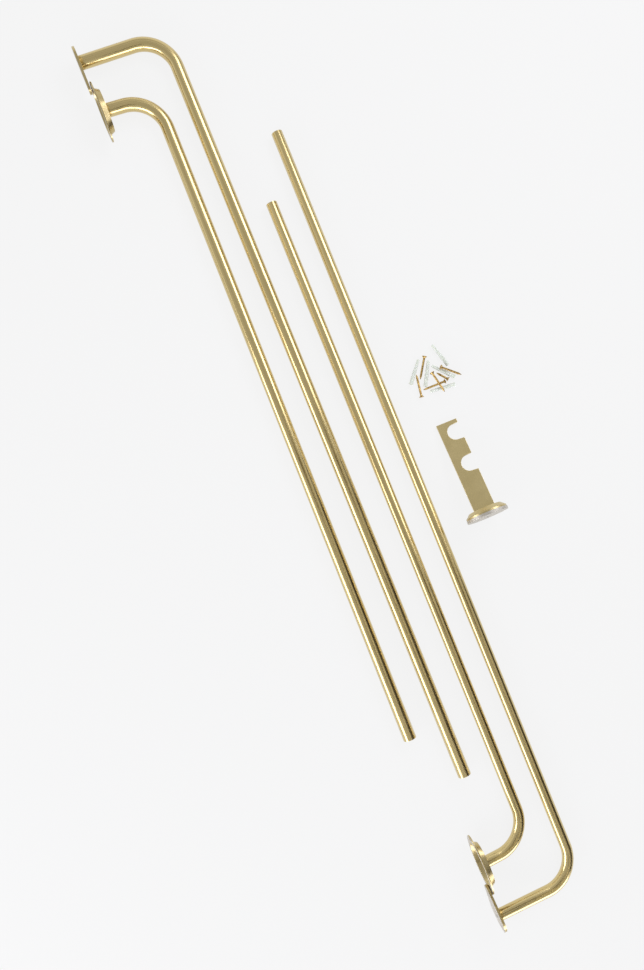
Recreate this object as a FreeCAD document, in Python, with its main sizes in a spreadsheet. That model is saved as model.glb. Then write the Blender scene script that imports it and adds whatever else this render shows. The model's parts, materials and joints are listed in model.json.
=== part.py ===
import FreeCAD, Part
import math
import os
import Sketcher

doc = FreeCAD.newDocument("DoubleCurtainPole")
Vector = FreeCAD.Vector
Rotation = FreeCAD.Rotation

# Driving dimensions in millimetres and degrees
DIMENSIONS = {
    # poles: each pole is a thick half and a thin half that slides into it
    "thickDiameter": 19.0,
    "thinDiameter": 16.0,
    "thickWall": 1.0,
    "thinWall": 1.0,
    "bendRadius": 48.0,
    "frontDepth": 128.5,
    "backDepth": 79.8,
    "thickFrontReach": 1130.0,
    "thinFrontReach": 1139.0,
    "thickBackReach": 978.0,
    "thinBackReach": 974.0,
    # front flange: a flat drop-shaped plate with a tongue
    "plateThickness": 3.5,
    "plateRadius": 22.0,
    "tongueRadius": 10.0,
    # back flange: a pressed oval dish, rim on the wall and the tube on its raised face
    "dishHalfLength": 44.0,
    "dishHalfHeight": 22.0,
    "dishSheet": 1.8,
    "dishDepth": 8.8,
    "bossHalfLength": 35.0,
    "bossHalfHeight": 20.5,
    "bossEndDraft": 5.0,
    "bossSideDraft": 1.5,
    "rimHoleInset": 4.7,
    "legSpacing": 75.0,
    "wallHoleRadius": 2.2,
    # joint of tube and flange
    "insertLength": 18.0,
    "fixingRadius": 2.5,
    "fixingLength": 14.0,
    "fixingHeadRadius": 4.5,
    "panHeadHeight": 2.6,
    "fixingClearance": 0.15,
    "pegRadius": 1.0,
    "pegOffset": 5.4,
    "pegLength": 1.2,
    "pegClearance": 0.2,
    # centre bracket
    "armThickness": 4.0,
    "armWidth": 30.5,
    "armLip": 5.4,
    "cradleRadius": 11.6,
    "cradleDepth": 20.0,
    "cradleFlare": 0.6,
    "tenonWidth": 8.0,
    "tenonSpacing": 16.0,
    "tenonFit": 0.1,
    "rosetteRadius": 29.5,
    "rosetteSkirt": 2.4,
    "rosetteTopRadius": 23.5,
    "rosetteDepth": 8.0,
    "rosetteSheet": 1.6,
    "discRadius": 30.0,
    "discThickness": 4.0,
    "hubRadius": 20.0,
    "hubHeight": 5.0,
    "discHoleRadius": 2.2,
    "discCountersinkRadius": 4.0,
    "lockHoleRadius": 1.4,
    "lockHoleDepth": 12.0,
    "lockHoleClearance": 0.5,
    # loose wall screws, locking screw and wall plugs
    "screwLength": 34.0,
    "screwRadius": 1.75,
    "screwHeadRadius": 3.6,
    "screwHeadRim": 0.5,
    "screwHeadCone": 2.0,
    "screwPoint": 5.0,
    "lockLength": 20.0,
    "recessWidth": 0.9,
    "recessReach": 2.1,
    "recessDepth": 1.6,
    "plugLength": 37.0,
    "plugMouthRadius": 3.1,
    "plugNoseRadius": 2.2,
    "plugBoreRadius": 1.5,
    "plugBoreDepth": 30.0,
    "plugSlit": 0.8,
    "plugSlitStart": 8.0,
}

sheet = doc.addObject("Spreadsheet::Sheet", "Dims")
for row, (alias, value) in enumerate(DIMENSIONS.items(), start=1):
    sheet.set("A%d" % row, alias)
    sheet.set("B%d" % row, "%g" % value)
    sheet.setAlias("B%d" % row, alias)
doc.recompute()


def dim(alias):
    """Value of a driving dimension, read from the sheet."""
    return float(getattr(sheet, alias))


# Where the loose pieces lie: the floor is Z 0, the poles run along X and the wall sides look towards minus Y
LAYOUT = {
    "endX": 662.6,
    "thickWallY": -115.47,
    "thinWallY": -19.91,
    "earGap": 0.35,
    "thickBackYaw": -0.45,
    "bracketX": 137.6,
    "bracketY": 177.3,
    "floorGap": 0.02,
}

# Loose screws: head place in plan, direction of the point in plan, rise of the point, height of the head's middle
SCREWS = {
    "wall_screw_1": (-105.0, 184.1, -31.9, -3.7, 3.64),
    "wall_screw_2": (-52.2, 158.4, 170.8, -3.7, 3.64),
    "wall_screw_3": (-79.4, 185.1, 9.6, 10.2, 3.64),
    "wall_screw_4": (-60.9, 198.5, -90.3, -3.7, 3.64),
    "wall_screw_5": (-81.6, 198.6, 50.9, -14.2, 8.85),
}
LOCK_SCREW = (-61.6, 203.4, -141.9, -7.3, 3.65)

# Wall plugs: mouth place in plan and direction of the nose in plan
PLUGS = {
    "wall_plug_1": (-80.7, 210.5, -163.9),
    "wall_plug_2": (-75.0, 151.1, 141.2),
    "wall_plug_3": (-64.6, 169.2, 151.3),
    "wall_plug_4": (-61.2, 213.6, -137.7),
    "wall_plug_5": (-51.6, 209.8, -95.8),
}


# Small helpers
def bind(item, expressions):
    for name, text in expressions.items():
        item.setExpression(name, text)
    return item


def cylinder(name, radius, height, **place):
    item = bind(doc.addObject("Part::Cylinder", name), {"Radius": radius, "Height": height})
    return bind(item, {"Placement.Base." + axis: text for axis, text in place.items()})


def cone(name, low, high, height, **place):
    item = bind(doc.addObject("Part::Cone", name), {"Radius1": low, "Radius2": high, "Height": height})
    return bind(item, {"Placement.Base." + axis: text for axis, text in place.items()})


def box(name, length, width, height, **place):
    item = bind(doc.addObject("Part::Box", name), {"Length": length, "Width": width, "Height": height})
    return bind(item, {"Placement.Base." + axis: text for axis, text in place.items()})


def fuse(name, shapes):
    item = doc.addObject("Part::MultiFuse", name)
    item.Shapes = shapes
    return item


def cut(name, base, tools):
    item = doc.addObject("Part::Cut", name)
    item.Base = base
    item.Tool = tools[0] if len(tools) == 1 else fuse(name + "_tools", tools)
    return item


def originPlane(body, role):
    return next(feature for feature in body.Origin.OriginFeatures if feature.Role == role)


def sketchOn(body, role, name):
    sketch = body.newObject("Sketcher::SketchObject", name)
    sketch.AttachmentSupport = [(originPlane(body, role), "")]
    sketch.MapMode = "FlatFace"
    return sketch


def constrain(sketch, label, text, *arguments):
    """Adds a constraint, named and bound to an expression where one is given."""
    index = sketch.addConstraint(Sketcher.Constraint(*arguments))
    if label:
        sketch.renameConstraint(index, label)
        sketch.setExpression("Constraints." + label, text)
    return index


def arc(centre, radius, start, end):
    circle = Part.Circle(Vector(centre[0], centre[1], 0), Vector(0, 0, 1), radius)
    return Part.ArcOfCircle(circle, start, end)


def line(start, end):
    return Part.LineSegment(Vector(start[0], start[1], 0), Vector(end[0], end[1], 0))


parts = {}


# Pole half: one bent tube, the leg along Z from its flange and the run along X
def makePole(node, half, depthName, reachName, footName):
    radius = dim(half + "Diameter") / 2
    depth, reach, bend = dim(depthName), dim(reachName), dim("bendRadius")
    foot = dim(footName)
    body = doc.addObject("PartDesign::Body", node)
    path = sketchOn(body, "XZ_Plane", node + "_path")
    path.addGeometry(line((0, foot), (0, depth - bend)))
    path.addGeometry(arc((bend, depth - bend), bend, math.pi / 2, math.pi))
    path.addGeometry(line((bend, depth), (reach, depth)))
    constrain(path, None, None, "PointOnObject", 0, 1, -2)
    constrain(path, None, None, "Tangent", 0, 2, 1, 2)
    constrain(path, None, None, "Tangent", 1, 1, 2, 1)
    constrain(path, None, None, "Vertical", 0)
    constrain(path, None, None, "Horizontal", 2)
    constrain(path, "foot", "Dims." + footName, "DistanceY", -1, 1, 0, 1, foot)
    constrain(path, "bend", "Dims.bendRadius", "Radius", 1, bend)
    constrain(path, "depth", "Dims." + depthName, "DistanceY", -1, 1, 2, 2, depth)
    constrain(path, "reach", "Dims." + reachName, "DistanceX", -1, 1, 2, 2, reach)
    ring = sketchOn(body, "XY_Plane", node + "_ring")
    ring.setExpression("AttachmentOffset.Base.z", "Dims." + footName)
    for name, text in (
        ("outer", "Dims.%sDiameter / 2" % half),
        ("inner", "Dims.%sDiameter / 2 - Dims.%sWall" % (half, half)),
    ):
        size = radius if name == "outer" else radius - dim(half + "Wall")
        index = ring.addGeometry(Part.Circle(Vector(0, 0, 0), Vector(0, 0, 1), size))
        constrain(ring, None, None, "Coincident", index, 3, -1, 1)
        constrain(ring, name, text, "Radius", index, size)
    pipe = body.newObject("PartDesign::AdditivePipe", node + "_tube")
    pipe.Profile = ring
    pipe.Spine = (path, ["Edge1", "Edge2", "Edge3"])
    body.Tip = pipe
    parts[node] = body


# Front flange: drop-shaped plate, the tube stands on its round end and a wall screw goes through its tongue
def makePlate(node):
    plateRadius, tongueRadius = dim("plateRadius"), dim("tongueRadius")
    offset = dim("legSpacing") - dim("dishHalfLength") + dim("rimHoleInset")
    slope = math.acos((plateRadius - tongueRadius) / offset)
    body = doc.addObject("PartDesign::Body", node + "_body")
    outline = sketchOn(body, "XY_Plane", node + "_outline")
    outline.addGeometry(arc((0, 0), plateRadius, slope, 2 * math.pi - slope))
    outline.addGeometry(arc((offset, 0), tongueRadius, -slope, slope))

    def tangent(centre, radius, side):
        return centre + radius * math.cos(slope), side * radius * math.sin(slope)

    outline.addGeometry(line(tangent(0, plateRadius, 1), tangent(offset, tongueRadius, 1)))
    outline.addGeometry(line(tangent(0, plateRadius, -1), tangent(offset, tongueRadius, -1)))
    constrain(outline, None, None, "Coincident", 0, 3, -1, 1)
    constrain(outline, None, None, "PointOnObject", 1, 3, -1)
    constrain(outline, None, None, "Tangent", 0, 1, 2, 1)
    constrain(outline, None, None, "Tangent", 2, 2, 1, 2)
    constrain(outline, None, None, "Tangent", 0, 2, 3, 1)
    constrain(outline, None, None, "Tangent", 3, 2, 1, 1)
    constrain(outline, "round", "Dims.plateRadius", "Radius", 0, plateRadius)
    constrain(outline, "tip", "Dims.tongueRadius", "Radius", 1, tongueRadius)
    tongueText = "Dims.legSpacing - Dims.dishHalfLength + Dims.rimHoleInset"
    constrain(outline, "tongue", tongueText, "DistanceX", -1, 1, 1, 3, offset)
    pad = body.newObject("PartDesign::Pad", node + "_pad")
    pad.Profile = outline
    pad.setExpression("Length", "Dims.plateThickness")
    body.Tip = pad
    through = "Dims.plateThickness"
    headDepth = "Dims.fixingHeadRadius - Dims.fixingRadius"
    pegText = "Dims.pegRadius + Dims.pegClearance"
    tools = [
        cylinder(node + "_bore", "Dims.fixingRadius + Dims.fixingClearance", through),
        cone(node + "_seat", "Dims.fixingHeadRadius", "Dims.fixingRadius", headDepth),
        cylinder(node + "_wall_hole", "Dims.wallHoleRadius", through, x=tongueText),
        cylinder(node + "_peg_hole_a", pegText, through, x="Dims.pegOffset"),
        cylinder(node + "_peg_hole_b", pegText, through, x="-Dims.pegOffset"),
    ]
    parts[node] = cut(node, body, tools)


# Back flange: oval dish with a flat rim, a raised face for the tube and a hollow towards the wall
def ellipse(name, major, minor, height):
    item = bind(doc.addObject("Part::Ellipse", name), {"MajorRadius": major, "MinorRadius": minor})
    return bind(item, {"Placement.Base.z": height})


def loft(name, sections):
    item = doc.addObject("Part::Loft", name)
    item.Sections = sections
    item.Solid = True
    item.Ruled = True
    return item


def makeDish(node):
    rim = doc.addObject("Part::Extrusion", node + "_rim")
    rim.Base = ellipse(node + "_rim_edge", "Dims.dishHalfLength", "Dims.dishHalfHeight", "0")
    rim.Dir = Vector(0, 0, 1)
    rim.DirMode = "Custom"
    rim.Solid = True
    rim.setExpression("LengthFwd", "Dims.dishSheet")
    long, high = "Dims.bossHalfLength", "Dims.bossHalfHeight"
    topLong, topHigh = long + " - Dims.bossEndDraft", high + " - Dims.bossSideDraft"
    boss = loft(node + "_boss", [
        ellipse(node + "_boss_low", long, high, "0"),
        ellipse(node + "_boss_top", topLong, topHigh, "Dims.dishDepth"),
    ])
    inner = " - Dims.dishSheet"
    hollow = loft(node + "_hollow", [
        ellipse(node + "_hollow_low", long + inner, high + inner, "0"),
        ellipse(node + "_hollow_top", topLong + inner, topHigh + inner, "Dims.dishDepth - Dims.dishSheet"),
    ])
    whole = fuse(node + "_whole", [rim, boss])
    rimHole = "Dims.dishHalfLength - Dims.rimHoleInset"
    pegText = "Dims.pegRadius + Dims.pegClearance"
    through = "Dims.dishDepth"
    tools = [
        hollow,
        cylinder(node + "_bore", "Dims.fixingRadius + Dims.fixingClearance", through),
        cylinder(node + "_peg_hole_a", pegText, through, x="Dims.pegOffset"),
        cylinder(node + "_peg_hole_b", pegText, through, x="-Dims.pegOffset"),
        cylinder(node + "_near_hole", "Dims.wallHoleRadius", through, x="-(" + rimHole + ")"),
        cylinder(node + "_far_hole", "Dims.wallHoleRadius", through, x=rimHole),
    ]
    parts[node] = cut(node, whole, tools)


# Insert: threaded plug pressed into the foot of a tube, with two pegs that stop the flange from turning
def makeInsert(node, half, footName):
    foot = "Dims." + footName
    plug = cylinder(
        node + "_plug", "Dims.%sDiameter / 2 - Dims.%sWall" % (half, half), "Dims.insertLength", z=foot
    )
    pegs = [
        cylinder(
            node + "_peg_" + side, "Dims.pegRadius", "Dims.pegLength + 1",
            x=sign + "Dims.pegOffset", z=foot + " - Dims.pegLength"
        )
        for side, sign in (("a", ""), ("b", "-"))
    ]
    whole = fuse(node + "_whole", [plug] + pegs)
    bore = cylinder(node + "_thread", "Dims.fixingRadius", "Dims.insertLength", z=foot)
    parts[node] = cut(node, whole, [bore])


def recess(node, place):
    """Cross recess, two bars that start at a head's face."""
    bars = []
    for name, length, width in (
        ("bar_a", "2 * Dims.recessReach", "Dims.recessWidth"),
        ("bar_b", "Dims.recessWidth", "2 * Dims.recessReach"),
    ):
        bars.append(box(
            node + "_" + name, length, width, "Dims.recessDepth",
            x="-(" + length + ") / 2", y="-(" + width + ") / 2", z=place
        ))
    return bars


# Fixing screw: from the wall side through the flange into the insert
def makeCountersunkFixing(node):
    headDepth = "Dims.fixingHeadRadius - Dims.fixingRadius"
    head = cone(node + "_head", "Dims.fixingHeadRadius", "Dims.fixingRadius", headDepth)
    shank = cylinder(node + "_shank", "Dims.fixingRadius", "Dims.fixingLength")
    parts[node] = cut(node, fuse(node + "_whole", [head, shank]), recess(node, "0"))


def makePanFixing(node):
    seat = "Dims.dishDepth - Dims.dishSheet"
    start = seat + " - Dims.panHeadHeight"
    head = cylinder(node + "_head", "Dims.fixingHeadRadius", "Dims.panHeadHeight", z=start)
    shank = cylinder(node + "_shank", "Dims.fixingRadius", "Dims.fixingLength + Dims.panHeadHeight", z=start)
    parts[node] = cut(node, fuse(node + "_whole", [head, shank]), recess(node, start))


# Bracket arm: flat bar with two open cradles, its foot riveted through the rosette by two tenons
def makeArm(node):
    half = dim("armWidth") / 2
    root = dim("discThickness") + dim("rosetteDepth")
    floor = root - dim("rosetteSheet")
    rootText = "Dims.discThickness + Dims.rosetteDepth"
    radius, flare = dim("cradleRadius"), dim("cradleFlare")
    bottom = half - dim("cradleDepth") + radius
    front, back = dim("frontDepth"), dim("backDepth")
    tip = front + radius + flare + dim("armLip")
    body = doc.addObject("PartDesign::Body", node)
    outline = sketchOn(body, "XY_Plane", node + "_outline")
    corners = [
        ((-half, root), (-half, tip)),
        ((-half, tip), (half, tip)),
        ((half, tip), (half, front + radius + flare)),
        ((half, front + radius + flare), (bottom, front + radius)),
        ((bottom, front - radius), (half, front - radius - flare)),
        ((half, front - radius - flare), (half, back + radius + flare)),
        ((half, back + radius + flare), (bottom, back + radius)),
        ((bottom, back - radius), (half, back - radius - flare)),
        ((half, back - radius - flare), (half, root)),
        ((half, root), (-half, root)),
    ]
    for start, end in corners:
        outline.addGeometry(line(start, end))
    outline.addGeometry(arc((bottom, front), radius, math.pi / 2, 1.5 * math.pi))
    outline.addGeometry(arc((bottom, back), radius, math.pi / 2, 1.5 * math.pi))
    joints = [
        (0, 2, 1, 1), (1, 2, 2, 1), (2, 2, 3, 1), (3, 2, 10, 1), (10, 2, 4, 1), (4, 2, 5, 1),
        (5, 2, 6, 1), (6, 2, 11, 1), (11, 2, 7, 1), (7, 2, 8, 1), (8, 2, 9, 1), (9, 2, 0, 1),
    ]
    for joint in joints:
        constrain(outline, None, None, "Coincident", *joint)
    for index in (0, 2, 5, 8):
        constrain(outline, None, None, "Vertical", index)
    for index in (1, 9):
        constrain(outline, None, None, "Horizontal", index)
    halfText = "Dims.armWidth / 2"
    constrain(outline, "left", halfText, "DistanceX", 0, 1, -1, 1, half)
    sides = (("right", 1, 2), ("landRight", 5, 1), ("rootRight", 8, 2))
    for label, index, end in sides:
        constrain(outline, label, halfText, "DistanceX", -1, 1, index, end, half)
    constrain(outline, "root", rootText, "DistanceY", -1, 1, 0, 1, root)
    tipText = "Dims.frontDepth + Dims.cradleRadius + Dims.cradleFlare + Dims.armLip"
    constrain(outline, "tip", tipText, "DistanceY", -1, 1, 0, 2, tip)
    bottomText = "Dims.armWidth / 2 - Dims.cradleDepth + Dims.cradleRadius"
    for name, index, centre in (("front", 10, front), ("back", 11, back)):
        depthText = "Dims." + name + "Depth"
        constrain(outline, name + "Radius", "Dims.cradleRadius", "Radius", index, radius)
        constrain(outline, name + "Across", bottomText, "DistanceX", -1, 1, index, 3, bottom)
        constrain(outline, name + "Along", depthText, "DistanceY", -1, 1, index, 3, centre)
        constrain(outline, None, None, "Vertical", index, 1, index, 3)
        constrain(outline, None, None, "Vertical", index, 2, index, 3)
    mouths = (
        ("frontOuter", 2, 2, "Dims.frontDepth + Dims.cradleRadius + Dims.cradleFlare", front + radius + flare),
        ("frontInner", 4, 2, "Dims.frontDepth - Dims.cradleRadius - Dims.cradleFlare", front - radius - flare),
        ("backOuter", 5, 2, "Dims.backDepth + Dims.cradleRadius + Dims.cradleFlare", back + radius + flare),
        ("backInner", 7, 2, "Dims.backDepth - Dims.cradleRadius - Dims.cradleFlare", back - radius - flare),
    )
    for label, index, end, text, value in mouths:
        constrain(outline, label, text, "DistanceY", -1, 1, index, end, value)
    pad = body.newObject("PartDesign::Pad", node + "_pad")
    pad.Profile = outline
    pad.setExpression("Length", "Dims.armThickness")
    tenons = sketchOn(body, "XY_Plane", node + "_tenons")
    width, spacing = dim("tenonWidth"), dim("tenonSpacing")
    for number, sign in enumerate((-1, 1)):
        low = sign * spacing / 2 - width / 2
        first = 4 * number
        ring = [(low, floor), (low + width, floor), (low + width, root), (low, root)]
        for start, end in zip(ring, ring[1:] + ring[:1]):
            tenons.addGeometry(line(start, end))
        for step in range(4):
            constrain(tenons, None, None, "Coincident", first + step, 2, first + (step + 1) % 4, 1)
        for index, kind in ((0, "Horizontal"), (1, "Vertical"), (2, "Horizontal"), (3, "Vertical")):
            constrain(tenons, None, None, kind, first + index)
        tag = "ab"[number]
        constrain(tenons, "width" + tag, "Dims.tenonWidth", "DistanceX", first, 1, first, 2, width)
        floorText = rootText + " - Dims.rosetteSheet"
        constrain(tenons, "floor" + tag, floorText, "DistanceY", -1, 1, first, 1, floor)
        constrain(tenons, "root" + tag, rootText, "DistanceY", -1, 1, first + 2, 1, root)
        if sign > 0:
            text = "(Dims.tenonSpacing - Dims.tenonWidth) / 2"
            constrain(tenons, "side" + tag, text, "DistanceX", -1, 1, first, 1, low)
        else:
            text = "(Dims.tenonSpacing + Dims.tenonWidth) / 2"
            constrain(tenons, "side" + tag, text, "DistanceX", first, 1, -1, 1, -low)
    foot = body.newObject("PartDesign::Pad", node + "_foot")
    foot.Profile = tenons
    foot.setExpression("Length", "Dims.armThickness")
    body.Tip = foot
    parts[node] = body


# Rosette: pressed round cover in front of the wall disc, with a short skirt and a sloping side
def makeRosette(node):
    seat = "Dims.discThickness"
    slope = "Dims.rosetteDepth - Dims.rosetteSkirt"
    inner = " - Dims.rosetteSheet"
    outer = [
        cylinder(node + "_skirt", "Dims.rosetteRadius", "Dims.rosetteSkirt", z=seat),
        cone(
            node + "_side", "Dims.rosetteRadius", "Dims.rosetteTopRadius", slope,
            z=seat + " + Dims.rosetteSkirt"
        ),
    ]
    tools = [
        cylinder(
            node + "_skirt_hollow", "Dims.rosetteRadius" + inner, "Dims.rosetteSkirt" + inner, z=seat
        ),
        cone(
            node + "_side_hollow", "Dims.rosetteRadius" + inner, "Dims.rosetteTopRadius" + inner, slope,
            z=seat + " + Dims.rosetteSkirt" + inner
        ),
    ]
    slotWidth = "Dims.tenonWidth + 2 * Dims.tenonFit"
    slotHeight = "Dims.armThickness + 2 * Dims.tenonFit"
    for tag, sign in (("a", "-"), ("b", "")):
        tools.append(box(
            node + "_slot_" + tag, slotWidth, slotHeight, "Dims.discThickness + Dims.rosetteDepth",
            x=sign + "Dims.tenonSpacing / 2 - (" + slotWidth + ") / 2", y="-(" + slotHeight + ") / 2"
        ))
    lock = cylinder(
        node + "_lock_hole", "Dims.lockHoleRadius + Dims.lockHoleClearance", "Dims.rosetteRadius",
        z=seat + " + Dims.hubHeight / 2"
    )
    lock.Placement.Rotation = Rotation(Vector(0, 1, 0), -90)
    tools.append(lock)
    parts[node] = cut(node, fuse(node + "_whole", outer), tools)


# Wall disc: zinc disc that one wall screw holds, its hub reaches into the rosette and takes the locking screw
def makeDisc(node):
    top = "Dims.discThickness + Dims.hubHeight"
    disc = fuse(node + "_whole", [
        cylinder(node + "_round", "Dims.discRadius", "Dims.discThickness"),
        cylinder(node + "_hub", "Dims.hubRadius", top),
    ])
    sink = "Dims.discCountersinkRadius - Dims.discHoleRadius"
    lock = cylinder(
        node + "_lock", "Dims.lockHoleRadius", "Dims.lockHoleDepth",
        x="-(Dims.hubRadius - Dims.lockHoleDepth)", z="Dims.discThickness + Dims.hubHeight / 2"
    )
    lock.Placement.Rotation = Rotation(Vector(0, 1, 0), -90)
    tools = [
        cylinder(node + "_hole", "Dims.discHoleRadius", top),
        cone(
            node + "_sink", "Dims.discHoleRadius", "Dims.discCountersinkRadius", sink,
            z=top + " - (" + sink + ")"
        ),
        lock,
    ]
    parts[node] = cut(node, disc, tools)


# Loose screw: head at the origin, point along Z
def makeScrew(node, lengthText):
    coneStart = "Dims.screwHeadRim"
    shankEnd = lengthText + " - Dims.screwPoint"
    pieces = [
        cylinder(node + "_rim", "Dims.screwHeadRadius", "Dims.screwHeadRim"),
        cone(node + "_head", "Dims.screwHeadRadius", "Dims.screwRadius", "Dims.screwHeadCone", z=coneStart),
        cylinder(node + "_shank", "Dims.screwRadius", shankEnd),
        cone(node + "_point", "Dims.screwRadius", "0", "Dims.screwPoint", z=shankEnd),
    ]
    parts[node] = cut(node, fuse(node + "_whole", pieces), recess(node, "0"))


# Wall plug: tapered sleeve with a blind bore, split lengthwise up to its closed nose
def makePlug(node):
    sleeve = cone(node + "_sleeve", "Dims.plugMouthRadius", "Dims.plugNoseRadius", "Dims.plugLength")
    slit = box(
        node + "_slit", "4 * Dims.plugMouthRadius", "Dims.plugSlit",
        "Dims.plugBoreDepth - Dims.plugSlitStart",
        x="-2 * Dims.plugMouthRadius", y="-Dims.plugSlit / 2", z="Dims.plugSlitStart"
    )
    bore = cylinder(node + "_bore", "Dims.plugBoreRadius", "Dims.plugBoreDepth")
    parts[node] = cut(node, sleeve, [slit, bore])


# The four pole halves with their flanges, inserts and fixing screws
HALVES = (
    # name, tube, depth, reach, foot of the tube above the wall, end of the layout
    ("thick_front", "thick", "frontDepth", "thickFrontReach", "plateThickness", -1),
    ("thick_back", "thick", "backDepth", "thickBackReach", "dishDepth", -1),
    ("thin_front", "thin", "frontDepth", "thinFrontReach", "plateThickness", 1),
    ("thin_back", "thin", "backDepth", "thinBackReach", "dishDepth", 1),
)
for name, half, depthName, reachName, footName, side in HALVES:
    makePole(name + "_pole", half, depthName, reachName, footName)
    makeInsert(name + "_insert", half, footName)
    if "front" in name:
        makePlate(name + "_flange")
        makeCountersunkFixing(name + "_fixing_screw")
    else:
        makeDish(name + "_flange")
        makePanFixing(name + "_fixing_screw")
makeArm("bracket_arm")
makeRosette("bracket_rosette")
makeDisc("bracket_wall_disc")
for name in SCREWS:
    makeScrew(name, "Dims.screwLength")
makeScrew("locking_screw", "Dims.lockLength")
for name in PLUGS:
    makePlug(name)
doc.recompute()


# Each half lies on its run and on the lower edge of its flange, so its leg rises towards the wall side
def restTilt(half, front):
    edge = dim("plateThickness") if front else dim("dishSheet")
    reach = dim("plateRadius") if front else dim("dishHalfHeight")
    level = dim("frontDepth" if front else "backDepth") - edge
    return math.atan2(reach, level) - math.asin(dim(half + "Diameter") / 2 / math.hypot(level, reach))


# The near ear of a back flange lies in front of the tongue of the front flange, as it does on the wall
def halfPlacement(name, half, depthName, side):
    front = "front" in name
    tilt = restTilt(half, front)
    across = Vector(0, math.cos(tilt), -math.sin(tilt))
    along = Vector(-side, 0, 0)
    turn = Rotation(along, across.cross(along), across, "ZXY")
    if name == "thick_back":
        turn = Rotation(Vector(0, 0, 1), LAYOUT["thickBackYaw"]).multiply(turn)
    end = LAYOUT["endX"] - (0 if front else dim("legSpacing"))
    corner = Vector(side * end, 0, dim(half + "Diameter") / 2 + LAYOUT["floorGap"])
    base = corner - turn.multVec(Vector(0, 0, dim(depthName)))
    base.y = LAYOUT[half + "WallY"]
    if not front:
        lean = math.sin(tilt) - math.sin(restTilt(half, True))
        base.y += dim("plateThickness") + dim("tongueRadius") * lean + LAYOUT["earGap"]
    return FreeCAD.Placement(base, turn)


for name, half, depthName, reachName, footName, side in HALVES:
    place = halfPlacement(name, half, depthName, side)
    for piece in ("_pole", "_flange", "_insert", "_fixing_screw"):
        parts[name + piece].Placement = place

# The bracket lies on its arm's tip and on the lower edge of its rosette
tipReach = dim("frontDepth") + dim("cradleRadius") + dim("cradleFlare") + dim("armLip")
discEdge = dim("discThickness")
tipDrop = dim("armThickness") / 2
bracketTilt = math.atan2(dim("discRadius") - tipDrop, tipReach - discEdge)
outward = Vector(-math.cos(bracketTilt), 0, -math.sin(bracketTilt))
broad = Vector(0, 1, 0)
rise = dim("discRadius") * math.cos(bracketTilt) + discEdge * math.sin(bracketTilt) + LAYOUT["floorGap"]
bracketBase = Vector(LAYOUT["bracketX"], LAYOUT["bracketY"], rise)
armTurn = Rotation(broad, outward, broad.cross(outward), "YXZ")
armShift = armTurn.multVec(Vector(0, 0, -tipDrop))
parts["bracket_arm"].Placement = FreeCAD.Placement(bracketBase + armShift, armTurn)
roundTurn = Rotation(broad, outward.cross(broad), outward, "ZXY")
for name in ("bracket_rosette", "bracket_wall_disc"):
    parts[name].Placement = FreeCAD.Placement(bracketBase, roundTurn)


# Loose screws and plugs on the floor
def layPiece(item, x, y, height, heading, climb):
    level = math.cos(math.radians(climb))
    heading = math.radians(heading)
    axis = Vector(level * math.cos(heading), level * math.sin(heading), math.sin(math.radians(climb)))
    item.Placement = FreeCAD.Placement(Vector(x, y, height), Rotation(Vector(0, 0, 1), axis))


for name, (x, y, heading, climb, height) in list(SCREWS.items()) + [("locking_screw", LOCK_SCREW)]:
    layPiece(parts[name], x, y, height, heading, climb)
plugDrop = math.degrees(math.asin((dim("plugMouthRadius") - dim("plugNoseRadius")) / dim("plugLength")))
for name, (x, y, heading) in PLUGS.items():
    height = dim("plugMouthRadius") + LAYOUT["floorGap"]
    layPiece(parts[name], x, y, height, heading, -plugDrop)

doc.recompute()

# The whole layout is centred over the origin
boxes = [item.Shape.optimalBoundingBox(True, False) for item in parts.values()]
middle = Vector(
    -(min(box.XMin for box in boxes) + max(box.XMax for box in boxes)) / 2,
    -(min(box.YMin for box in boxes) + max(box.YMax for box in boxes)) / 2,
    -min(box.ZMin for box in boxes),
)
for name, item in parts.items():
    item.Placement = FreeCAD.Placement(middle, Rotation()).multiply(item.Placement)
    item.Label = name
doc.recompute()

# Every object is sound before anything is written
for item in doc.Objects:
    if "Invalid" in item.State or "Error" in item.State:
        raise RuntimeError("failed object: " + item.Name)
os.makedirs("parts", exist_ok=True)
for name, item in parts.items():
    shape = item.Shape
    if shape.isNull() or not shape.isValid() or not shape.Solids:
        raise RuntimeError("bad shape: " + name)
for name, item in parts.items():
    item.Shape.exportStep("parts/%s.step" % name)
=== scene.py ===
import json
import math

import bpy
import numpy
from mathutils import Matrix, Vector


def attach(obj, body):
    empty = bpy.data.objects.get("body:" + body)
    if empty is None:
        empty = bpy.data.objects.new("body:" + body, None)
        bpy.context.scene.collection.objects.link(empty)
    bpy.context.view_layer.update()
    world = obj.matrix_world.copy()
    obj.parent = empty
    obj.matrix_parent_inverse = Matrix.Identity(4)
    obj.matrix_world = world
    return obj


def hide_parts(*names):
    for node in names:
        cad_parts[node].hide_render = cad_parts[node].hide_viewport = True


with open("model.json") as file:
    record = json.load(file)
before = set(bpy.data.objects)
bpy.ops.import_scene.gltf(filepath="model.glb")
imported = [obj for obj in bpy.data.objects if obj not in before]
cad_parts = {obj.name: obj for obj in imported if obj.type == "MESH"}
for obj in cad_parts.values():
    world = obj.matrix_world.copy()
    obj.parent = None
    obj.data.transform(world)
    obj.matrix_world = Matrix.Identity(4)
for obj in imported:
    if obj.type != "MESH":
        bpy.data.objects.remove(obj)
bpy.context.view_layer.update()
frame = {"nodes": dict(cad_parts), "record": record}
nodes = frame["nodes"]
mm = 0.001
print("frame loaded:", len(nodes), "pieces")


# Small helpers for colours, nodes and meshes
def toLinear(hexText):
    values = [int(hexText[i : i + 2], 16) / 255 for i in (1, 3, 5)]
    return tuple(v / 12.92 if v <= 0.04045 else ((v + 0.055) / 1.055) ** 2.4 for v in values) + (1.0,)


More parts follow.
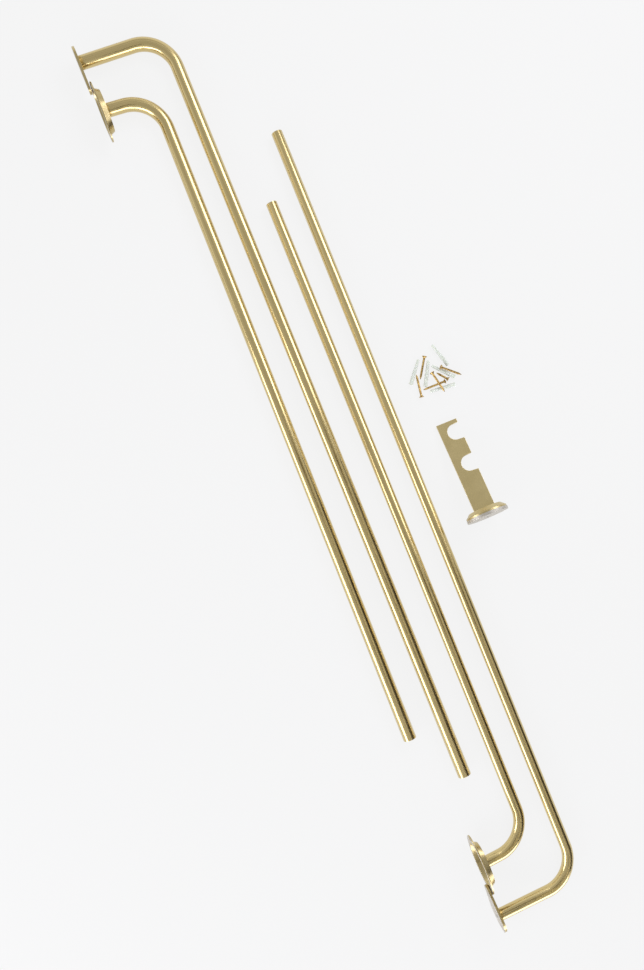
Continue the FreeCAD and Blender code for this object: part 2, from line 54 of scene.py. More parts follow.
def addNode(tree, kind, settings=None, links=None):
    node = tree.nodes.new(kind)
    for name, value in (settings or {}).items():
        # a setting is a socket, by its name or number, or else a property of the node
        if isinstance(name, int) or name in node.inputs:
            node.inputs[name].default_value = value
        else:
            setattr(node, name, value)
    for name, socket in (links or {}).items():
        tree.links.new(socket, node.inputs[name])
    return node


def newMaterial(name):
    material = bpy.data.materials.new(name)
    material.use_nodes = True
    tree = material.node_tree
    return material, tree, tree.nodes["Principled BSDF"]


def setShader(shader, values):
    for name, value in values.items():
        shader.inputs[name].default_value = value


def setRamp(ramp, stops):
    elements = ramp.color_ramp.elements
    while len(elements) < len(stops):
        elements.new(0.5)
    for element, (position, colour) in zip(elements, stops):
        element.position = position
        element.color = toLinear(colour)


def paint(piece, material):
    piece.data.materials.clear()
    piece.data.materials.append(material)


def deselectAll():
    bpy.ops.object.select_all(action="DESELECT")


def makeActive(piece):
    deselectAll()
    piece.select_set(True)
    bpy.context.view_layer.objects.active = piece


def applyModifier(piece, kind, values):
    makeActive(piece)
    modifier = piece.modifiers.new(kind.title(), kind)
    for name, value in values.items():
        setattr(modifier, name, value)
    bpy.ops.object.modifier_apply(modifier=modifier.name)


def smoothEdges(piece, degrees):
    makeActive(piece)
    bpy.ops.object.shade_smooth_by_angle(angle=math.radians(degrees))


# Finishes
def satinBrass():
    # lacquered brass plating on drawn steel tube: warm olive gold, crisp light bands and faint lines along it
    material, tree, shader = newMaterial("satinLacqueredBrass")
    look = {"lineWidth": 1.1 * mm, "lineLength": 400 * mm, "patchSize": 25 * mm}
    setShader(shader, {"Metallic": 1.0, "Coat Weight": 0.35, "Coat Roughness": 0.12})
    place = addNode(tree, "ShaderNodeUVMap", {"uv_map": "alongTube"})
    # real drawn lines are about a tenth as wide and would not show, so these are coarser
    lines = addNode(
        tree, "ShaderNodeMapping", {"Scale": (1 / look["lineLength"], 1 / look["lineWidth"], 1.0)},
        {"Vector": place.outputs["UV"]},
    )
    streak = addNode(
        tree, "ShaderNodeTexNoise", {"Scale": 1.0, "Detail": 3.0}, {"Vector": lines.outputs["Vector"]}
    )
    where = addNode(tree, "ShaderNodeTexCoord")
    patch = addNode(
        tree, "ShaderNodeTexNoise", {"Scale": 1 / look["patchSize"], "Detail": 2.0},
        {"Vector": where.outputs["Object"]},
    )
    colour = addNode(tree, "ShaderNodeValToRGB", links={"Fac": streak.outputs["Fac"]})
    setRamp(colour, [(0.32, "#C6B078"), (0.68, "#E0CC93")])
    tree.links.new(colour.outputs["Color"], shader.inputs["Base Color"])
    rough = addNode(
        tree, "ShaderNodeMapRange", {"From Min": 0.3, "From Max": 0.7, "To Min": 0.17, "To Max": 0.25},
        {"Value": patch.outputs["Fac"]},
    )
    tree.links.new(rough.outputs["Result"], shader.inputs["Roughness"])
    bump = addNode(
        tree, "ShaderNodeBump", {"Strength": 0.03, "Distance": 0.01 * mm}, {"Height": streak.outputs["Fac"]}
    )
    tree.links.new(bump.outputs["Normal"], shader.inputs["Normal"])
    return material


def sheetBrass(name, low, high, roughLow, roughHigh):
    # brass plating on pressed or stamped steel: the same gold, softer, with a fine even grain
    material, tree, shader = newMaterial(name)
    look = {"grainSize": 0.8 * mm, "patchSize": 18 * mm}
    setShader(shader, {"Metallic": 1.0, "Coat Weight": 0.2, "Coat Roughness": 0.2})
    where = addNode(tree, "ShaderNodeTexCoord")
    # the real grain is about a quarter of this size and would not show
    fine = addNode(
        tree, "ShaderNodeTexNoise", {"Scale": 1 / look["grainSize"], "Detail": 4.0},
        {"Vector": where.outputs["Object"]},
    )
    wide = addNode(
        tree, "ShaderNodeTexNoise", {"Scale": 1 / look["patchSize"], "Detail": 2.0},
        {"Vector": where.outputs["Object"]},
    )
    colour = addNode(tree, "ShaderNodeValToRGB", links={"Fac": wide.outputs["Fac"]})
    setRamp(colour, [(0.3, low), (0.7, high)])
    tree.links.new(colour.outputs["Color"], shader.inputs["Base Color"])
    rough = addNode(
        tree, "ShaderNodeMapRange",
        {"From Min": 0.3, "From Max": 0.7, "To Min": roughLow, "To Max": roughHigh},
        {"Value": fine.outputs["Fac"]},
    )
    tree.links.new(rough.outputs["Result"], shader.inputs["Roughness"])
    bump = addNode(
        tree, "ShaderNodeBump", {"Strength": 0.15, "Distance": 0.03 * mm}, {"Height": fine.outputs["Fac"]}
    )
    tree.links.new(bump.outputs["Normal"], shader.inputs["Normal"])
    return material


def dullZinc():
    # electroplated zinc without polish: pale warm grey, cloudy, almost matt
    material, tree, shader = newMaterial("dullZincPlate")
    look = {"cloudSize": 6 * mm}
    setShader(shader, {"Metallic": 0.75})
    where = addNode(tree, "ShaderNodeTexCoord")
    cloud = addNode(
        tree, "ShaderNodeTexNoise", {"Scale": 1 / look["cloudSize"], "Detail": 5.0, "Roughness": 0.6},
        {"Vector": where.outputs["Object"]},
    )
    colour = addNode(tree, "ShaderNodeValToRGB", links={"Fac": cloud.outputs["Fac"]})
    setRamp(colour, [(0.3, "#A9A498"), (0.7, "#CFCAC0")])
    tree.links.new(colour.outputs["Color"], shader.inputs["Base Color"])
    rough = addNode(
        tree, "ShaderNodeMapRange", {"From Min": 0.3, "From Max": 0.7, "To Min": 0.42, "To Max": 0.58},
        {"Value": cloud.outputs["Fac"]},
    )
    tree.links.new(rough.outputs["Result"], shader.inputs["Roughness"])
    bump = addNode(
        tree, "ShaderNodeBump", {"Strength": 0.2, "Distance": 0.03 * mm}, {"Height": cloud.outputs["Fac"]}
    )
    tree.links.new(bump.outputs["Normal"], shader.inputs["Normal"])
    return material


def platedScrew(name, low, high, roughLow, roughHigh):
    # bright plating on a rolled screw: small and shiny, darker and rougher in random patches; the dark tone
    # is painted shade that stands in for the dark edges of a small shiny screw
    material, tree, shader = newMaterial(name)
    look = {"tarnishSize": 2.5 * mm}
    setShader(shader, {"Metallic": 1.0})
    where = addNode(tree, "ShaderNodeTexCoord")
    shadePatches = addNode(
        tree, "ShaderNodeTexNoise", {"Scale": 1 / look["tarnishSize"], "Detail": 4.0},
        {"Vector": where.outputs["Object"]},
    )
    # painted shade: the darker colour of this ramp, laid in random patches, stands in for the screw's dark
    # edges
    colour = addNode(tree, "ShaderNodeValToRGB", links={"Fac": shadePatches.outputs["Fac"]})
    setRamp(colour, [(0.32, low), (0.62, high)])
    tree.links.new(colour.outputs["Color"], shader.inputs["Base Color"])
    rough = addNode(
        tree, "ShaderNodeMapRange",
        {"From Min": 0.3, "From Max": 0.7, "To Min": roughHigh, "To Max": roughLow},
        {"Value": shadePatches.outputs["Fac"]},
    )
    tree.links.new(rough.outputs["Result"], shader.inputs["Roughness"])
    return material


def naturalNylon():
    # moulded nylon without pigment: milky, faintly green, light spreads a little way inside it
    material, tree, shader = newMaterial("naturalNylon")
    look = {"cloudSize": 4 * mm, "lightReach": 3 * mm}
    setShader(shader, {
        "Roughness": 0.6, "IOR": 1.53, "Specular IOR Level": 0.3, "Subsurface Weight": 0.4,
        "Subsurface Scale": look["lightReach"], "Subsurface Radius": (1.0, 1.0, 0.9),
    })
    where = addNode(tree, "ShaderNodeTexCoord")
    cloud = addNode(
        tree, "ShaderNodeTexNoise", {"Scale": 1 / look["cloudSize"], "Detail": 2.0},
        {"Vector": where.outputs["Object"]},
    )
    colour = addNode(tree, "ShaderNodeValToRGB", links={"Fac": cloud.outputs["Fac"]})
    setRamp(colour, [(0.3, "#D3D9CC"), (0.7, "#DEE3D8")])
    tree.links.new(colour.outputs["Color"], shader.inputs["Base Color"])
    bump = addNode(
        tree, "ShaderNodeBump", {"Strength": 0.1, "Distance": 0.05 * mm}, {"Height": cloud.outputs["Fac"]}
    )
    tree.links.new(bump.outputs["Normal"], shader.inputs["Normal"])
    return material


finishes = {
    # slot: finish, with its name, darker and lighter colour, least and most roughness
    "brass_tube": satinBrass(),
    "brass_flange": sheetBrass("pressedBrass", "#BFAC7A", "#CAB887", 0.24, 0.32),
    "brass_bracket": sheetBrass("stampedBrass", "#D2BF89", "#DAC791", 0.2, 0.27),
    "brass_cover": sheetBrass("pressedCoverBrass", "#C4B27F", "#CEBD8B", 0.32, 0.4),  # only the rosette
    # the screws' darker colour is painted shade for their dark edges
    "brass_screw": platedScrew("yellowPlatedScrew", "#8C6C36", "#D6B877", 0.14, 0.26),
    "steel": platedScrew("zincPlatedSteel", "#8F8C84", "#C4C1B8", 0.22, 0.36),
    "zinc": dullZinc(),
    "nylon": naturalNylon(),
}
slotOf = {subpart["node"]: subpart["material_slot"] for subpart in frame["record"]["subparts"]}
for name, node in nodes.items():
    paint(node, finishes[slotOf[name]])
print("finishes made:", len(finishes))


# Where a turned piece lies: the middles of its two ends, read from its node
endBand = 0.3 * mm  # how near its end a piece's width is read


def endsOf(name):
    # summed over a turned piece, area times normal times normal has two equal eigenvalues and a lone one,
    # and the lone one's vector is the axis
    mesh = nodes[name].data
    tensor = numpy.zeros((3, 3))
    middle, area = Vector(), 0.0
    for face in mesh.polygons:
        tensor += face.area * numpy.outer(face.normal, face.normal)
        middle += face.center * face.area
        area += face.area
    middle /= area
    values, axes = numpy.linalg.eigh(tensor)
    lone = 0 if values[1] - values[0] > values[2] - values[1] else 2
    axis = Vector(axes[:, lone]).normalized()
    heights = [(vertex.co - middle).dot(axis) for vertex in mesh.vertices]
    return [middle + axis * min(heights), middle + axis * max(heights)]


def widthAt(name, end, axis):
    points = [vertex.co - end for vertex in nodes[name].data.vertices]
    return max((p - axis * p.dot(axis)).length for p in points if abs(p.dot(axis)) < endBand)


def turnedPlace(name):
    # the matrix that takes a piece modelled along Z, wide end at the origin, to where its node lies
    ends = endsOf(name)
    axis = (ends[1] - ends[0]).normalized()
    if widthAt(name, ends[0], axis) < widthAt(name, ends[1], axis):
        ends.reverse()
        axis = -axis
    return Matrix.Translation(ends[0]) @ axis.to_track_quat("Z", "Y").to_matrix().to_4x4()


def placeCopy(master, name, place, slot, *replaced):
    piece = bpy.data.objects.new(name, master.data.copy())
    bpy.context.scene.collection.objects.link(piece)
    piece.data.transform(place)
    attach(piece, "root")
    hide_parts(*replaced)


# Pole halves: one bent tube each, leg and run with a round bend between them
poles = {
    # in mm. depth: wall to the run's axis, foot: wall to the tube's end, reach: leg's axis to the open mouth,
    # wallPoint: middle of the leg at the wall. Directions: along the run, and up the leg to the room
    "thick_front": {
        "radius": 9.5, "depth": 128.5, "foot": 3.5, "reach": 1130.0,
        "wallPoint": (-662.6, -168.7342, 22.2504), "along": (1.0, 0.0, 0.0),
        "leg": (0.0, 0.9950742, -0.0991331),
    },
    "thick_back": {
        "radius": 9.5, "depth": 79.8, "foot": 8.8, "reach": 978.0,
        "wallPoint": (-588.219, -164.3079, 22.0219), "along": (0.9999692, -0.0078539, 0.0),
        "leg": (0.0077568, 0.9876048, -0.1567689),
    },
    "thin_front": {
        "radius": 8.0, "depth": 128.5, "foot": 3.5, "reach": 1139.0,
        "wallPoint": (662.6, -73.1742, 22.2642), "along": (-1.0, 0.0, 0.0),
        "leg": (0.0, 0.99383, -0.1109141),
    },
    "thin_back": {
        "radius": 8.0, "depth": 79.8, "foot": 8.8, "reach": 974.0,
        "wallPoint": (587.6, -68.6821, 21.987), "along": (-1.0, 0.0, 0.0),
        "leg": (0.0, 0.9845456, -0.1751283),
    },
}
tube = {"sides": 72, "bendSteps": 36, "bendRadius": 48.0, "wall": 1.0, "edge": 0.18}  # lengths in mm


def halfPlace(name):
    # the matrix of a pole half: origin at its wallPoint, Z up the leg, X along the run
    values = poles[name]
    up, along = Vector(values["leg"]), Vector(values["along"])
    turn = Matrix((along, up.cross(along), up)).transposed().to_4x4()
    return Matrix.Translation(Vector(values["wallPoint"]) * mm) @ turn


def bentTube(name, values):
    radius, bend = values["radius"] * mm, tube["bendRadius"] * mm
    foot, depth, reach = values["foot"] * mm, values["depth"] * mm, values["reach"] * mm
    deselectAll()
    bpy.ops.mesh.primitive_circle_add(vertices=tube["sides"], radius=radius, location=(0, 0, foot))
    piece = bpy.context.object
    piece.name = name + "_satin_tube"
    bpy.ops.object.transform_apply(location=True)
    bpy.ops.object.mode_set(mode="EDIT")
    bpy.ops.mesh.select_all(action="SELECT")
    bpy.ops.mesh.extrude_region_move(TRANSFORM_OT_translate={"value": (0, 0, depth - bend - foot)})
    # a negative angle about Y turns the open end from Z to X here
    bpy.ops.mesh.spin(
        steps=tube["bendSteps"], angle=-math.pi / 2, center=(bend, 0, depth - bend), axis=(0, 1, 0)
    )
    bpy.ops.mesh.extrude_region_move(TRANSFORM_OT_translate={"value": (reach - bend, 0, 0)})
    bpy.ops.mesh.select_all(action="SELECT")
    bpy.ops.mesh.remove_doubles(threshold=0.001 * mm)
    bpy.ops.mesh.normals_make_consistent(inside=False)
    bpy.ops.object.mode_set(mode="OBJECT")
    # the tube is open at both ends, so a face of its leg, the lowest one, says whether all point outwards
    face = min(piece.data.polygons, key=lambda polygon: polygon.center.z)
    if face.normal.dot(Vector((face.center.x, face.center.y, 0))) < 0:
        piece.data.flip_normals()
    applyModifier(piece, "SOLIDIFY", {"thickness": tube["wall"] * mm, "offset": -1.0})
    applyModifier(piece, "BEVEL", {
        "width": tube["edge"] * mm, "segments": 2, "limit_method": "ANGLE", "angle_limit": math.radians(60),
    })
    smoothEdges(piece, 40)
    wrapAlong(piece, radius, bend, depth)
    piece.data.transform(halfPlace(name))
    paint(piece, finishes["brass_tube"])
    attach(piece, "root")
    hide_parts(name + "_pole")


def wrapAlong(piece, radius, bend, depth):
    # a UV map in metres: U runs along the leg, the bend and the run, V round the tube
    layer = piece.data.uv_layers.new(name="alongTube")
    corner = depth - bend

    def flat(point):
        if point.z < corner and point.x < bend:  # on the leg
            return point.z, math.atan2(point.y, -point.x)
        if point.x > bend:  # on the run
            return corner + bend * math.pi / 2 + point.x - bend, math.atan2(point.y, point.z - depth)
        swing = math.atan2(point.z - corner, bend - point.x)
        out = math.hypot(point.z - corner, bend - point.x) - bend
        return corner + bend * swing, math.atan2(point.y, out)

    for face in piece.data.polygons:
        spots = [flat(piece.data.vertices[i].co) for i in face.vertices]
        high = max(spot[1] for spot in spots)
        for loop, (length, angle) in zip(face.loop_indices, spots):
            if high - angle > math.pi:  # a face across the seam
                angle += 2 * math.pi
            layer.data[loop].uv = (length, angle * radius)


for name, values in poles.items():
    bentTube(name, values)
print("pole halves made:", len(poles))


# Pressed and stamped pieces: their CAD shape with the soft edges that pressing and tumbling leave
softened = {
    # node: edge radius in mm and slot
    "thick_front_flange": (0.6, "brass_flange"),
    "thin_front_flange": (0.6, "brass_flange"),
    "thick_back_flange": (0.35, "brass_flange"),
    "thin_back_flange": (0.35, "brass_flange"),
    "bracket_arm": (0.3, "brass_bracket"),
    "bracket_rosette": (0.5, "brass_bracket"),
    "bracket_wall_disc": (0.5, "zinc"),
}
sharpAngle = 35  # in degrees: an edge sharper than this is rounded, or else shaded as an edge
wallSide = {"height": 0.3, "facing": -0.9}  # faces of a flange this low, in mm, and turned to the wall


def softEdged(name, radius, slot):
    piece = bpy.data.objects.new(name + "_finished", nodes[name].data.copy())
    bpy.context.scene.collection.objects.link(piece)
    makeActive(piece)
    bpy.ops.mesh.customdata_custom_splitnormals_clear()
    bpy.ops.object.mode_set(mode="EDIT")
    bpy.ops.mesh.select_all(action="SELECT")
    bpy.ops.mesh.remove_doubles(threshold=0.002 * mm)
    # flat faces come as many triangles, and become one each
    bpy.ops.mesh.dissolve_limited(angle_limit=math.radians(0.5))
    bpy.ops.object.mode_set(mode="OBJECT")
    applyModifier(piece, "BEVEL", {
        "width": radius * mm, "segments": 3, "limit_method": "ANGLE",
        "angle_limit": math.radians(sharpAngle), "use_clamp_overlap": True,
    })
    smoothEdges(piece, sharpAngle)
    applyModifier(piece, "WEIGHTED_NORMAL", {"mode": "FACE_AREA", "weight": 100, "keep_sharp": True})
    paint(piece, finishes["brass_cover" if name == "bracket_rosette" else slot])
    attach(piece, "root")
    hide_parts(name)
    return piece


for name, (radius, slot) in softened.items():
    piece = softEdged(name, radius, slot)
    if name.endswith("_flange"):
        # the wall side stays dull zinc, because only the room side gets its brass
        place = halfPlace(name.replace("_flange", "")).inverted()
        outward = place.to_3x3()
        piece.data.materials.append(finishes["zinc"])
        for face in piece.data.polygons:
            centre = place @ face.center
            if centre.z < wallSide["height"] * mm and (outward @ face.normal).z < wallSide["facing"]:
                face.material_index = 1
print("flanges and bracket made:", len(softened))


# Countersunk screws with a cross recess and a rolled thread
screwShape = {
    # lengths in mm, heights from the top of the head; shank and crest are radii
    "sides": 28, "headRadius": 3.55, "rimRound": 0.12, "rim": 0.5, "headCone": 2.0, "neck": 0.6,
    "shank": 1.5, "point": 5.0, "tip": 0.06,
    "crest": 1.75, "pitch": 1.6, "halfThread": 0.42, "turnSteps": 20,
    "threadStart": 4.5, "runIn": 1.5, "bareTip": 1.0, "leastThread": 0.08,
    "recessReach": 2.0, "recessWidth": 0.85, "recessDepth": 1.7, "recessBottom": 0.45,
}
longLength, shortLength = 34.0, 20.0
wallFixings = range(1, 6)  # numbers of the wall screws and of the plugs


def turnedProfile(name, profile, sides):
    # a closed turned shape: a disc at the first height, extruded and scaled to each next radius and height
    deselectAll()
    firstRadius, firstHeight = profile[0]
    bpy.ops.mesh.primitive_circle_add(
        vertices=sides, radius=firstRadius * mm, fill_type="NGON", location=(0, 0, firstHeight * mm)
    )
    piece = bpy.context.object
    piece.name = name
    bpy.ops.object.transform_apply(location=True)
    bpy.ops.object.mode_set(mode="EDIT")
    bpy.ops.mesh.select_all(action="SELECT")
    for (before, low), (radius, high) in zip(profile, profile[1:]):
        bpy.ops.mesh.extrude_region_move(TRANSFORM_OT_translate={"value": (0, 0, (high - low) * mm)})
        share = radius / before
        bpy.ops.transform.resize(value=(share, share, 1.0), center_override=(0, 0, high * mm))
    bpy.ops.mesh.select_all(action="SELECT")
    bpy.ops.mesh.normals_make_consistent(inside=False)
    bpy.ops.object.mode_set(mode="OBJECT")
    return piece


def crossCutter(reach, width, depth, bottom):
    # two crossed bars that stand a little out of the head and narrow to the share bottom at their depth
    over = 0.4  # in mm, as the rest
    cutters = []
    for turn in (0, 90):
        deselectAll()
        bpy.ops.mesh.primitive_cube_add(size=1.0, location=(0, 0, depth / 2 * mm - over / 2 * mm))
        bar = bpy.context.object
        bar.scale = (2 * reach * mm, width * mm, (depth + over) * mm)
        bar.rotation_euler.z = math.radians(turn)
        bpy.ops.object.transform_apply(location=True, rotation=True, scale=True)
        bpy.ops.object.mode_set(mode="EDIT")
        bpy.ops.mesh.select_all(action="DESELECT")
        bpy.ops.object.mode_set(mode="OBJECT")
        for vertex in bar.data.vertices:
            vertex.select = vertex.co.z > depth / 2 * mm
        bpy.ops.object.mode_set(mode="EDIT")
        bpy.ops.transform.resize(value=(bottom, bottom, 1.0), center_override=(0, 0, depth * mm))
        bpy.ops.object.mode_set(mode="OBJECT")
        cutters.append(bar)
    return cutters


def carve(piece, cutters):
    for cutter in cutters:
        applyModifier(piece, "BOOLEAN", {"operation": "DIFFERENCE", "object": cutter, "solver": "EXACT"})
        bpy.data.objects.remove(cutter)


def threadRidge(length):
    # rolled thread: a small wedge swept round the shank, rising at its start and thinning out at the point
    shape = screwShape
    root, crest = shape["shank"] * 0.93 * mm, shape["crest"] * mm  # the root lies just inside the shank
    halfWidth = shape["halfThread"] * mm
    start = shape["threadStart"] * mm
    turns = int((length - shape["threadStart"] - shape["bareTip"]) / shape["pitch"])
    deselectAll()
    bpy.ops.mesh.primitive_circle_add(vertices=3, radius=1 * mm)
    ridge = bpy.context.object
    corners = ((root, -halfWidth), (crest, 0.0), (root, halfWidth))
    for vertex, (across, up) in zip(ridge.data.vertices, corners):
        vertex.co = (across, 0, start + up)
    applyModifier(ridge, "SCREW", {
        "angle": 2 * math.pi, "screw_offset": shape["pitch"] * mm, "iterations": turns, "axis": "Z",
        "steps": shape["turnSteps"], "render_steps": shape["turnSteps"], "use_smooth_shade": False,
    })
    bpy.ops.object.mode_set(mode="EDIT")
    bpy.ops.mesh.select_all(action="DESELECT")
    bpy.ops.mesh.select_non_manifold(extend=False)
    bpy.ops.mesh.edge_face_add()
    bpy.ops.mesh.select_all(action="SELECT")
    bpy.ops.mesh.normals_make_consistent(inside=False)
    bpy.ops.object.mode_set(mode="OBJECT")
    pointStart = (length - shape["point"]) * mm
    least = shape["leastThread"]
    for vertex in ridge.data.vertices:
        past = (vertex.co.z - pointStart) / (shape["point"] * mm)
        share = min(1.0, 1 + least - past) if past > 0 else 1.0
        begin = (vertex.co.z - start) / (shape["runIn"] * mm)
        rise = max(0.0, min(1.0, begin + 0.3))
        out = math.hypot(vertex.co.x, vertex.co.y)
        wanted = (root + (out - root) * rise) * max(share, least)
        vertex.co.x *= wanted / out
        vertex.co.y *= wanted / out
    return ridge


def crossScrew(name, length):
    shape = screwShape
    head, shank = shape["headRadius"], shape["shank"]
    coneEnd, pointStart = shape["rim"] + shape["headCone"], length - shape["point"]
    profile = [
        # radius and height: head, cone, neck, shank and point
        (head - shape["rimRound"], 0.0), (head, shape["rimRound"]), (head, shape["rim"]),
        (head * 0.72, shape["rim"] + shape["headCone"] * 0.48), (shank * 1.12, coneEnd),
        (shank, coneEnd + shape["neck"]), (shank, pointStart),
        (shank * 0.62, length - shape["point"] * 0.5), (shape["tip"], length),
    ]
    piece = turnedProfile(name, profile, shape["sides"])
    recess = (shape["recessReach"], shape["recessWidth"], shape["recessDepth"], shape["recessBottom"])
    carve(piece, crossCutter(*recess))
    ridge = threadRidge(length)
    deselectAll()
    ridge.select_set(True)
    piece.select_set(True)
    bpy.context.view_layer.objects.active = piece
    bpy.ops.object.join()
    smoothEdges(piece, 38)
    paint(piece, finishes["brass_screw"])
    return piece


longScrew = crossScrew("longScrewMaster", longLength)
shortScrew = crossScrew("shortScrewMaster", shortLength)
for number in wallFixings:
    name = "wall_screw_%d" % number
    placeCopy(longScrew, name + "_threaded", turnedPlace(name), "brass_screw", name)
name = "locking_screw"
placeCopy(shortScrew, name + "_threaded", turnedPlace(name), "brass_screw", name)
for master in (longScrew, shortScrew):
    bpy.data.objects.remove(master)
print("screws made:", len(wallFixings) + 1)


# Wall plugs: a tapered nylon sleeve with a lip, saw-tooth rings, a slit and a blind bore
plugShape = {
    # lengths in mm, heights from the mouth; mouth, nose and bore are radii
    "sides": 36, "length": 37.0, "mouth": 3.08, "nose": 2.18, "mouthRound": 0.2, "lip": 1.0,
    "collarStart": 1.3, "collarEnd": 7.0, "collarDepth": 0.25,
    "rings": 9, "ringStart": 8.0, "ringEnd": 31.0, "ringSlope": 0.8, "toothDepth": 0.42,
    "bore": 1.5, "boreSides": 24, "boreDepth": 30.0, "slit": 0.8, "slitStart": 8.0, "slitAcross": 12,
}


def nylonPlug(name):
    shape = plugShape

    def taper(height):
        return shape["mouth"] + (shape["nose"] - shape["mouth"]) * height / shape["length"]

    lip = shape["lip"]
    profile = [(shape["mouth"] - shape["mouthRound"], 0.0), (shape["mouth"], 0.25), (taper(lip), lip)]
    for height in (shape["collarStart"], shape["collarEnd"]):
        profile.append((taper(height) - shape["collarDepth"], height))
    step = (shape["ringEnd"] - shape["ringStart"]) / shape["rings"]
    for ring in range(shape["rings"]):
        low = shape["ringStart"] + ring * step
        high = low + step * shape["ringSlope"]
        profile += [(taper(low), low), (taper(high) - shape["toothDepth"], high)]
    # the smooth nose, from the last ring to its rounded end
    profile += [(taper(31.0) - 0.15, 31.2), (taper(35.5) - 0.1, 35.5), (shape["nose"] * 0.7, 36.9)]
    piece = turnedProfile(name, profile, shape["sides"])
    cutters = []
    deselectAll()
    bpy.ops.mesh.primitive_cylinder_add(
        vertices=shape["boreSides"], radius=shape["bore"] * mm, depth=(shape["boreDepth"] + 1) * mm,
        location=(0, 0, (shape["boreDepth"] - 1) / 2 * mm),
    )
    cutters.append(bpy.context.object)
    bpy.ops.object.transform_apply(location=True)
    deselectAll()
    slitLength = shape["boreDepth"] - shape["slitStart"]
    middle = shape["slitStart"] + slitLength / 2
    bpy.ops.mesh.primitive_cube_add(size=1.0, location=(0, 0, middle * mm))
    slit = bpy.context.object
    slit.scale = (shape["slitAcross"] * mm, shape["slit"] * mm, slitLength * mm)
    bpy.ops.object.transform_apply(location=True, scale=True)
    cutters.append(slit)
    carve(piece, cutters)
    smoothEdges(piece, 25)
    paint(piece, finishes["nylon"])
    return piece


plugMaster = nylonPlug("plugMaster")
for number in wallFixings:
    name = "wall_plug_%d" % number
    placeCopy(plugMaster, name + "_ribbed", turnedPlace(name), "nylon", name)
bpy.data.objects.remove(plugMaster)
print("plugs made:", len(wallFixings))


# Floor, lamps, dark cards and camera
floorLook = {"colour": "#F5F5F5", "litColour": "#F0F0F0", "shade": 0.07, "size": 40.0}


def paleFloor():
    # matt paper that keeps its own pale colour to the eye and in the metal, with the share shade lit by lamps
    material, tree, shader = newMaterial("paleFloor")
    litColour = toLinear(floorLook["litColour"])
    setShader(shader, {"Base Color": litColour, "Roughness": 0.9, "Specular IOR Level": 0.1})
    ray = addNode(tree, "ShaderNodeLightPath")
    seen = addNode(
        tree, "ShaderNodeMath", {"operation": "MAXIMUM"},
        {0: ray.outputs["Is Camera Ray"], 1: ray.outputs["Is Glossy Ray"]},
    )
    seenToo = addNode(
        tree, "ShaderNodeMath", {"operation": "MAXIMUM"},
        {0: seen.outputs["Value"], 1: ray.outputs["Is Transmission Ray"]},
    )
    share = addNode(
        tree, "ShaderNodeMath", {"operation": "MULTIPLY", 1: 1 - floorLook["shade"]},
        {0: seenToo.outputs["Value"]},
    )
    glow = addNode(tree, "ShaderNodeEmission", {"Color": toLinear(floorLook["colour"]), "Strength": 1.0})
    mix = addNode(tree, "ShaderNodeMixShader", links={
        "Fac": share.outputs["Value"], 1: shader.outputs["BSDF"], 2: glow.outputs["Emission"],
    })
    tree.links.new(mix.outputs["Shader"], tree.nodes["Material Output"].inputs["Surface"])
    return material


deselectAll()
bpy.ops.mesh.primitive_plane_add(size=floorLook["size"], location=(0, 0, 0))
floor = bpy.context.object
floor.name = "floor"
paint(floor, paleFloor())

lampColour = (1.0, 1.0, 1.12)  # a little blue, as daylight is
softboxes = {
    # name: middle, size and what it points at, in metres, and its radiance
    "rightSoftbox": ((-0.75, 1.05, 1.0), (1.6, 0.62), (-0.3, 0.0, 0.0), 4.0),
    "leftSoftbox": ((0.65, -1.35, 0.5), (1.9, 0.6), (0.25, 0.0, 0.0), 4.2),
    "endSoftbox": ((2.3, -0.1, 0.6), (2.2, 0.95), (0.0, -0.1, 0.1), 3.0),
}
darkCards = {
    # name: middle, size, what it faces, colour; only the metal sees them, as the dark bands in its shine
    "rightDarkCard": ((0.95, 1.1, 0.55), (1.6, 1.0), (0.3, 0.0, 0.0), "#2E2820"),
    "rightLowCard": ((-0.75, 1.3, 0.12), (1.8, 0.34), (-0.3, 0.0, 0.1), "#5A5040"),
    "leftLowCard": ((0.2, -1.5, 0.07), (3.4, 0.14), (0.2, 0.0, 0.05), "#6A5E48"),
    "overheadCard": ((0.7, 0.36, 1.35), (1.3, 0.42), (0.7, 0.36, 0.0), "#BAB49C"),
    "rigCard": ((0.27, -0.02, 1.3), (0.3, 0.62), (0.27, -0.02, 0.0), "#625A48"),
    "nearLegCard": ((0.76, 0.07, 1.25), (0.14, 0.28), (0.76, 0.07, 0.0), "#4A4438"),
    "farLegCard": ((1.08, -0.15, 1.25), (0.2, 0.34), (1.08, -0.15, 0.0), "#2E2820"),
}


def aim(item, target):
    item.rotation_euler = (Vector(target) - item.location).to_track_quat("-Z", "Y").to_euler()


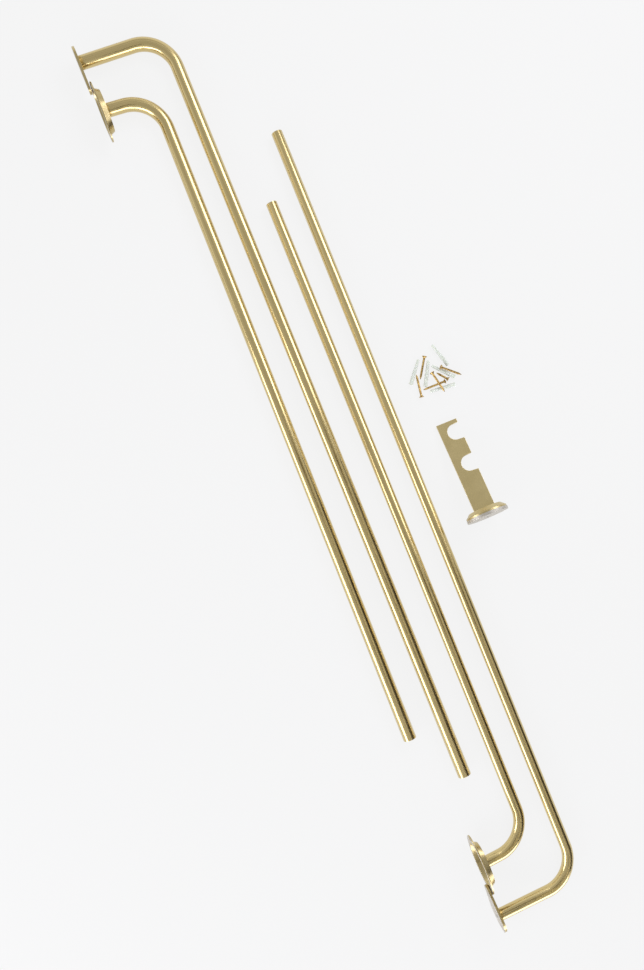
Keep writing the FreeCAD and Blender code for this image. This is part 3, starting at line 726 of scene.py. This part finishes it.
for name, (place, size, target, radiance) in softboxes.items():
    lamp = bpy.data.lights.new(name, "AREA")
    lamp.shape = "RECTANGLE"
    lamp.size, lamp.size_y = size
    lamp.color = lampColour
    lamp.energy = radiance * math.pi * size[0] * size[1]
    item = bpy.data.objects.new(name, lamp)
    bpy.context.scene.collection.objects.link(item)
    item.location = place
    aim(item, target)

for name, (place, size, target, colour) in darkCards.items():
    deselectAll()
    bpy.ops.mesh.primitive_plane_add(size=1.0, location=place)
    card = bpy.context.object
    card.name = name
    card.scale = (size[0], size[1], 1.0)
    aim(card, target)
    material, tree, shader = newMaterial(name + "Paper")
    setShader(shader, {"Base Color": toLinear(colour), "Roughness": 0.9})
    paint(card, material)
    card.visible_camera = False
    card.visible_shadow = False
    card.visible_diffuse = False

# The room is as pale as the floor at the horizon and greyer overhead
world = bpy.data.worlds.new("paleStudio")
bpy.context.scene.world = world
world.use_nodes = True
tree = world.node_tree
where = addNode(tree, "ShaderNodeTexCoord")
parts = addNode(tree, "ShaderNodeSeparateXYZ", links={"Vector": where.outputs["Generated"]})
sky = addNode(tree, "ShaderNodeValToRGB", links={"Fac": parts.outputs["Z"]})
setRamp(sky, [(0.0, "#F6F6F6"), (0.3, "#F4F4F4"), (0.55, "#C9C9C9"), (1.0, "#C0C0C0")])
backdrop = tree.nodes["Background"]
tree.links.new(sky.outputs["Color"], backdrop.inputs["Color"])
backdrop.inputs["Strength"].default_value = 1.0

# The camera looks almost straight down, turned so that the poles run from upper left to lower right
shot = {
    "place": (0.0072, -0.08326, 1.1052), "lens": 28.71, "sensor": 36.0,
    "right": (0.37566, 0.92671, 0.00919), "up": (-0.92675, 0.37567, 0.00062),
    "back": (-0.00287, -0.00875, 0.99996),
}
cameraData = bpy.data.cameras.new("overhead")
cameraData.sensor_fit = "VERTICAL"
cameraData.sensor_height = shot["sensor"]
cameraData.lens = shot["lens"]
camera = bpy.data.objects.new("overhead", cameraData)
bpy.context.scene.collection.objects.link(camera)
turn = Matrix((shot["right"], shot["up"], shot["back"])).transposed().to_4x4()
camera.matrix_world = Matrix.Translation(shot["place"]) @ turn
bpy.context.scene.camera = camera
bpy.context.scene.view_settings.view_transform = "Standard"
print("stage and camera made")
